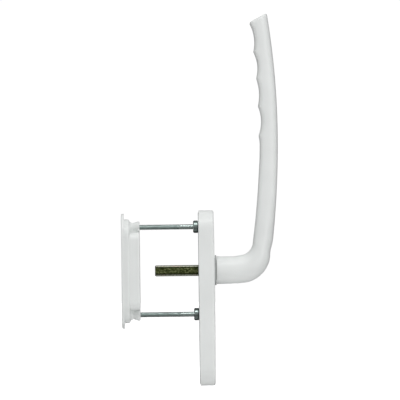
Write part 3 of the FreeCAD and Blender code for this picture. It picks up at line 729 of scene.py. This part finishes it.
def make_cover():
    shape = Shape()

    def outline(inset):
        return capsule_ring(PLATE_HALF - inset, PLATE_BOTTOM + inset, PLATE_TOP - inset)

    def hole_loops(grow):
        return [round_hole(SLEEVE_HOLE_R + grow, 0, 0), profile_hole(CUTOUT_GAP + grow)]

    front = sheet(shape, outline(COVER_EDGE), hole_loops(0.35), lambda y, z: crown_x(z))
    back_front = COVER_FRONT - COVER_WALL
    back = sheet(shape, outline(COVER_WALL + 0.4), hole_loops(0), lambda y, z: crown_x(z, back_front))
    # Outer side: from the front sheet's rim over the rounded edge, down to the rear, in and up again
    previous = front[0]
    for turn in (15, 30, 45, 60, 75, 90):
        t = math.radians(turn)
        inset = COVER_EDGE * (1 - math.sin(t))
        ring = [(crown_x(z) - COVER_EDGE * (1 - math.cos(t)), y, z) for y, z in outline(inset)]
        new = shape.ring(ring)
        shape.bridge(previous, new)
        previous = new
    for x, inset in ((9.0, 0.0), (4.0, 0.0), (COVER_REAR + 0.25, 0.0), (COVER_REAR, 0.25),
                     (COVER_REAR, COVER_WALL - 0.2), (COVER_REAR + 0.2, COVER_WALL), (6.0, COVER_WALL)):
        new = shape.ring([(x, y, z) for y, z in outline(inset)])
        shape.bridge(previous, new)
        previous = new
    new = shape.ring([(crown_x(z, back_front) - 0.4, y, z) for y, z in outline(COVER_WALL)])
    shape.bridge(previous, new)
    shape.bridge(new, back[0])
    for index, loop in enumerate(hole_loops(0)):
        rim = front[index + 1]
        middle = shape.ring([(crown_x(z) - 0.12, y, z) for y, z in hole_loops(0.1)[index]])
        wall = shape.ring([(crown_x(z) - 0.35, y, z) for y, z in loop])
        shape.bridge(rim, middle)
        shape.bridge(middle, wall)
        shape.bridge(wall, back[index + 1])
    return make_piece("cover_shell", shape.points, shape.faces, FIXED, [ENAMEL], 34.0)


cover = make_cover()
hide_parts("cover_plate")

# ---------------------------------------------------------------- turned parts

RING_PROFILE = arc_profile([
    (13.0, 9.3, 0), (13.0, 11.2, 0.2), (15.0, 11.2, 0), (15.0, 13.75, 0.1), (16.4, 13.75, 0.7),
    (16.4, 9.35, 0.25), (16.1, 9.05, 0), (13.3, 9.05, 0)])
ring = lathe("guide_ring", RING_PROFILE, 0, 0, FIXED, [RING_GREY], closed=True)
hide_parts("neck_ring")

CAM_PROFILE = arc_profile([
    (-4.5, 2.7, 0), (-4.5, 4.9, 0.2), (-3.7, 5.7, 0.3), (-0.5, 5.7, 0.12), (0.0, 5.2, 0.05), (2.2, 5.2, 0),
    (3.0, 6.0, 0), (3.0, 4.7, 0), (1.0, 2.7, 0)], 3)
SCREWS = (("upper", 40.0), ("lower", -40.0))     # height above the spindle
for label, rise in SCREWS:
    cam = lathe(label + "_cam_turned", CAM_PROFILE, 0, rise, FIXED, [TURNED_ZINC],
                closed=True, sharp=30)
    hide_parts(label + "_support_cam")

THREAD_START, THREAD_END = -62.0, -16.5
PITCH = 0.8
CREST_R, ROOT_R, SHANK_R = 2.5, 2.05, 2.25
POINT_R = CREST_R - 0.75     # the thread's chamfered end


def threaded_rod(z):
    """The thread as one height field: rings follow the helix, and its seam joins each to the next lap."""
    shape = Shape()
    count = 36
    form = ((0.0, 0.0), (0.14, 0.0), (0.44, 1.0), (0.56, 1.0), (0.86, 0.0))
    per_lap = len(form)
    laps = int((THREAD_END - THREAD_START) / PITCH) + 3
    grid = []
    for lap in range(-1, laps):
        for share, height in form:
            row = []
            for i in range(count):
                t = 2 * math.pi * i / count
                x = THREAD_START + PITCH * (lap + share + i / count)
                x_on = min(max(x, THREAD_START), THREAD_END)
                r = ROOT_R + (CREST_R - ROOT_R) * height
                r = SHANK_R + (r - SHANK_R) * smooth((THREAD_END - x_on) / 1.1)
                r = min(r, POINT_R + (x_on - THREAD_START))
                row.append((x_on, r * math.sin(t), z - r * math.cos(t)))
            grid.append(shape.ring(row))
    for k in range(len(grid) - 1):
        for i in range(count - 1):
            shape.faces.append((grid[k][i], grid[k][i + 1], grid[k + 1][i + 1], grid[k + 1][i]))
        # the last column of row k runs on into the first column one lap further on
        if k + per_lap + 1 < len(grid):
            shape.faces.append((grid[k][count - 1], grid[k + per_lap][0], grid[k + per_lap + 1][0],
                                grid[k + 1][count - 1]))
    # A disc closes the thread's end; the plain shank and the countersunk head follow at the other
    shape.fan(shape.ring(circle_x(THREAD_START, POINT_R, 0, z, count)))
    profile = arc_profile([(THREAD_END, SHANK_R, 0), (0.55, SHANK_R, 0.3), (2.9, 4.6, 0.06), (3.0, 4.6, 0)])
    made = shape.loft([circle_x(x, r, 0, z, count) for x, r in profile], False, False)
    head_top(shape, made[-1], z, count)
    return shape


def head_top(shape, rim, z, count):
    """The flat top of the head with a tapered cross recess."""
    turns = [2 * math.pi * i / count for i in range(count)]

    def cross(arm, blade, x):
        ring = []
        for t in turns:
            c, s = math.cos(t), math.sin(t)
            reach = []
            for u, v in ((abs(c), abs(s)), (abs(s), abs(c))):
                reach.append(min(arm / max(u, 1e-9), blade / max(v, 1e-9)))
            r = max(reach)
            ring.append((x, r * s, z - r * c))
        return ring
    edge = shape.ring(cross(2.3, 0.62, 3.0))
    floor = shape.ring(cross(1.7, 0.45, 1.5))
    shape.bridge(rim, edge)
    shape.bridge(edge, floor)
    shape.fan(floor)


for label, rise in SCREWS:
    rod = threaded_rod(rise)
    on_thread = [int(rod.points[face[0]][0] < THREAD_END) for face in rod.faces]
    screw = make_piece(label + "_screw_threaded", rod.points, rod.faces, FIXED,
                       [BRIGHT, ROLLED], 30.0, on_thread)
    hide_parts(label + "_fixing_screw")

# ---------------------------------------------------------------- spindle


def make_spindle():
    """The square bar. Each corner is a 45 degree land whose two sides round off into the flats."""
    half, end = 5.0, 0.9
    corner = [(half - out, half - along) for along, out in ((2.0, 0.0), (1.7, 0.05), (1.35, 0.22))]
    corner += [(z, y) for y, z in reversed(corner)]
    outline = []
    for k in range(4):
        c, s = round(math.cos(math.pi / 2 * k)), round(math.sin(math.pi / 2 * k))
        outline += [(c * y - s * z, s * y + c * z) for y, z in corner]
    per_corner = len(corner)
    back, front = -39.8, 40.2
    xs = [(back, end), (back + end, 0.0)]
    xs += [(back + end + (front - back - 2 * end) * i / 24, 0.0) for i in range(1, 24)]
    xs += [(front - end, 0.0), (front, end)]
    count = len(outline)
    points, faces, slots = [], [], []
    for x, inset in xs:
        scale = (half - inset) / half
        points += [(x, y * scale, z * scale) for y, z in outline]
    for r in range(len(xs) - 1):
        for i in range(count):
            j = (i + 1) % count
            faces.append((r * count + i, r * count + j, (r + 1) * count + j, (r + 1) * count + i))
            is_land = i % per_corner == 2 and 0 < r < len(xs) - 2
            slots.append(1 if is_land else 0)
    faces.append(tuple(range(count)))
    faces.append(tuple((len(xs) - 1) * count + i for i in range(count)))
    slots += [0, 0]
    return make_piece("spindle_bar", points, faces, TURNING, [OLIVE, OLIVE_LAND_LIT], 35.0, slots)


spindle = make_spindle()
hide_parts("spindle")

# ---------------------------------------------------------------- CAD nodes that stay, with their materials

STAYING = {
    "flush_pull": ENAMEL,
    "base_plate": SHEET,
    "housing_rivets": SHEET,
    "thrust_washer": SHEET,
    "bearing_bush": NATURAL,
    "upper_cover_clip": NATURAL,
    "lower_cover_clip": NATURAL,
    "bearing_housing": CAST,
    "detent_rotor": CAST,
    "detent_spring": SPRING,
    "retaining_ring": SPRING,
    "lever_grub_screw": BLACK,
}
for node, material in STAYING.items():
    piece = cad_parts[node]
    piece.data.materials.clear()
    piece.data.materials.append(material)
    piece.data.shade_smooth()
    piece.data.set_sharp_from_angle(angle=math.radians(25))

# ---------------------------------------------------------------- camera, light, floor

VIEW_SIZE = 366.12           # side of the square that the camera takes in, at the object
VIEW_CENTRE = (1.3455, 64.437)   # its middle, right of and above the spindle's axis at the door face
ROLL = math.radians(0.7)
DISTANCE = 8.0               # metres, as are the places and sizes of the lamps

# Levels by direction: along Y from in front of the object (0) to behind it (1), and from below to above
WORLD_ALONG = ((0.0, 1.0), (0.5, 0.75), (0.68, 0.25), (0.85, 0.15), (1.0, 0.3))
WORLD_HEIGHT = ((0.0, 0.5), (0.1, 0.32), (0.27, 0.16), (0.45, 0.32), (0.6, 0.52), (0.75, 0.76), (0.9, 0.95),
                (1.0, 1.0))
FLOOR_GLOW = 0.75
SURROUND_GLOW = 1.02
# Three levels set the lamps, in watts: the boxes that the metal shows, the soft fill
# above and beside the object, and the stronger bounce from behind and below
KEY_LEVEL, FILL_LEVEL, BOUNCE_LEVEL = 7.0, 6.5, 10.0
AIM = (0.02, 0, 0.06)
# Fill that lights the paint from all round but isn't seen in the metal: place, width, height, watts
FILL = (
    ("top_fill", (0.1, -0.5, 2.1), 2.4, 1.2, FILL_LEVEL),
    ("left_fill", (-2.2, -1.2, 0.0), 1.0, 1.6, FILL_LEVEL),
    ("right_fill", (2.2, -1.2, 0.0), 1.0, 1.6, FILL_LEVEL),
    ("low_fill", (0.1, -0.6, -1.9), 2.4, 1.2, 2 * BOUNCE_LEVEL),
    ("rear_top_fill", (0.1, 1.5, 1.8), 2.0, 0.8, BOUNCE_LEVEL),
    ("rear_left_fill", (-1.9, 1.2, 0.1), 0.8, 1.6, BOUNCE_LEVEL),
    ("rear_right_fill", (1.9, 1.2, 0.1), 0.8, 1.6, BOUNCE_LEVEL / 2),
    ("rear_low_fill", (0.1, 1.5, -1.8), 2.0, 0.8, BOUNCE_LEVEL / 2),
)


def make_camera():
    right = Vector((math.cos(ROLL), 0, -math.sin(ROLL)))
    up = Vector((math.sin(ROLL), 0, math.cos(ROLL)))
    middle = (right * VIEW_CENTRE[0] + up * VIEW_CENTRE[1]) * MM
    back = Vector((0, -1, 0))
    data = bpy.data.cameras.new("camera")
    data.sensor_width = 36.0
    data.lens = data.sensor_width * DISTANCE / (VIEW_SIZE * MM)
    data.clip_start, data.clip_end = 0.1, 60.0
    camera = bpy.data.objects.new("camera", data)
    bpy.context.scene.collection.objects.link(camera)
    matrix = Matrix.Identity(4)
    for column, axis in enumerate((right, up, back)):
        for row in range(3):
            matrix[row][column] = axis[row]
    matrix.translation = middle + back * DISTANCE
    camera.matrix_world = matrix
    bpy.context.scene.camera = camera


def softbox(name, position, width, height, power):
    data = bpy.data.lights.new(name, "AREA")
    data.shape = "RECTANGLE"
    data.size, data.size_y = width, height
    data.energy = power
    light = bpy.data.objects.new(name, data)
    light.location = position
    direction = Vector(AIM) - Vector(position)
    light.rotation_euler = direction.to_track_quat("-Z", "Y").to_euler()
    light.visible_camera = False
    bpy.context.scene.collection.objects.link(light)
    return light


def make_world():
    """Soft studio surroundings: bright in front and above, dim behind and below."""
    world = bpy.data.worlds.new("studio")
    bpy.context.scene.world = world
    world.use_nodes = True
    tree = world.node_tree
    background = tree.nodes["Background"]
    background.inputs["Strength"].default_value = 1.0
    place = tree.nodes.new("ShaderNodeTexCoord").outputs["Generated"]
    split = tree.nodes.new("ShaderNodeSeparateXYZ")
    tree.links.new(place, split.inputs[0])

    def ramp(value, stops):
        scaled = tree.nodes.new("ShaderNodeMapRange")
        scaled.inputs["From Min"].default_value = -1.0
        scaled.inputs["From Max"].default_value = 1.0
        tree.links.new(value, scaled.inputs["Value"])
        node = tree.nodes.new("ShaderNodeValToRGB")
        node.color_ramp.interpolation = "EASE"
        elements = node.color_ramp.elements
        while len(elements) < len(stops):
            elements.new(0.5)
        for element, (position, level) in zip(elements, stops):
            element.position = position
            element.color = (level, level, level, 1)
        tree.links.new(scaled.outputs["Result"], node.inputs["Fac"])
        return node.outputs["Color"]

    along = ramp(split.outputs["Y"], WORLD_ALONG)
    height = ramp(split.outputs["Z"], WORLD_HEIGHT)
    mix = tree.nodes.new("ShaderNodeMix")
    mix.data_type = "RGBA"
    mix.blend_type = "MULTIPLY"
    mix.inputs[0].default_value = 1.0
    tree.links.new(along, mix.inputs[6])
    tree.links.new(height, mix.inputs[7])
    tree.links.new(mix.outputs[2], background.inputs["Color"])


def make_stage():
    """A pale floor a little below the object, and a plain white surround that only the camera sees."""
    white = Nodes("pale_floor")
    base = white.mix((0.90, 0.90, 0.90), (0.93, 0.93, 0.93), white.spread(white.noise(300.0, 2.0), 0.0, 1.0))
    floor_material = white.finish(base, 0.8, Emission_Color=(1, 1, 1, 1), Emission_Strength=FLOOR_GLOW)
    shape = Shape()
    count = 96
    level = -135.0
    rings = [[(r * math.cos(2 * math.pi * i / count), r * math.sin(2 * math.pi * i / count), level)
              for i in range(count)] for r in (300.0, 1500.0, 4000.0, 9100.0)]
    shape.loft(rings, True, False)
    mesh = bpy.data.meshes.new("floor")
    mesh.from_pydata([[c * MM for c in p] for p in shape.points], [], shape.faces)
    mesh.materials.append(floor_material)
    floor = bpy.data.objects.new("floor", mesh)
    bpy.context.scene.collection.objects.link(floor)
    floor.visible_diffuse = False
    floor.visible_glossy = False
    floor.visible_shadow = False

    glow = bpy.data.materials.new("white_surround")
    glow.use_nodes = True
    tree = glow.node_tree
    tree.nodes.remove(tree.nodes["Principled BSDF"])
    emission = tree.nodes.new("ShaderNodeEmission")
    emission.inputs["Strength"].default_value = SURROUND_GLOW
    tree.links.new(emission.outputs[0], tree.nodes["Material Output"].inputs["Surface"])
    mesh = bpy.data.meshes.new("surround")
    work = bmesh.new()
    bmesh.ops.create_uvsphere(work, u_segments=64, v_segments=32, radius=9.3)
    work.to_mesh(mesh)
    work.free()
    mesh.materials.append(glow)
    surround = bpy.data.objects.new("surround", mesh)
    bpy.context.scene.collection.objects.link(surround)
    for visibility in ("visible_diffuse", "visible_glossy", "visible_transmission", "visible_volume_scatter",
                       "visible_shadow"):
        setattr(surround, visibility, False)


make_camera()
make_world()
make_stage()
softbox("top_front", (0.15, -1.15, 1.65), 1.2, 0.34, KEY_LEVEL)
softbox("right_front", (0.75, -2.0, 0.25), 0.35, 1.6, KEY_LEVEL)
for name, position, width, height, power in FILL:
    softbox(name, position, width, height, power).visible_glossy = False
bpy.context.scene.view_settings.view_transform = "Standard"
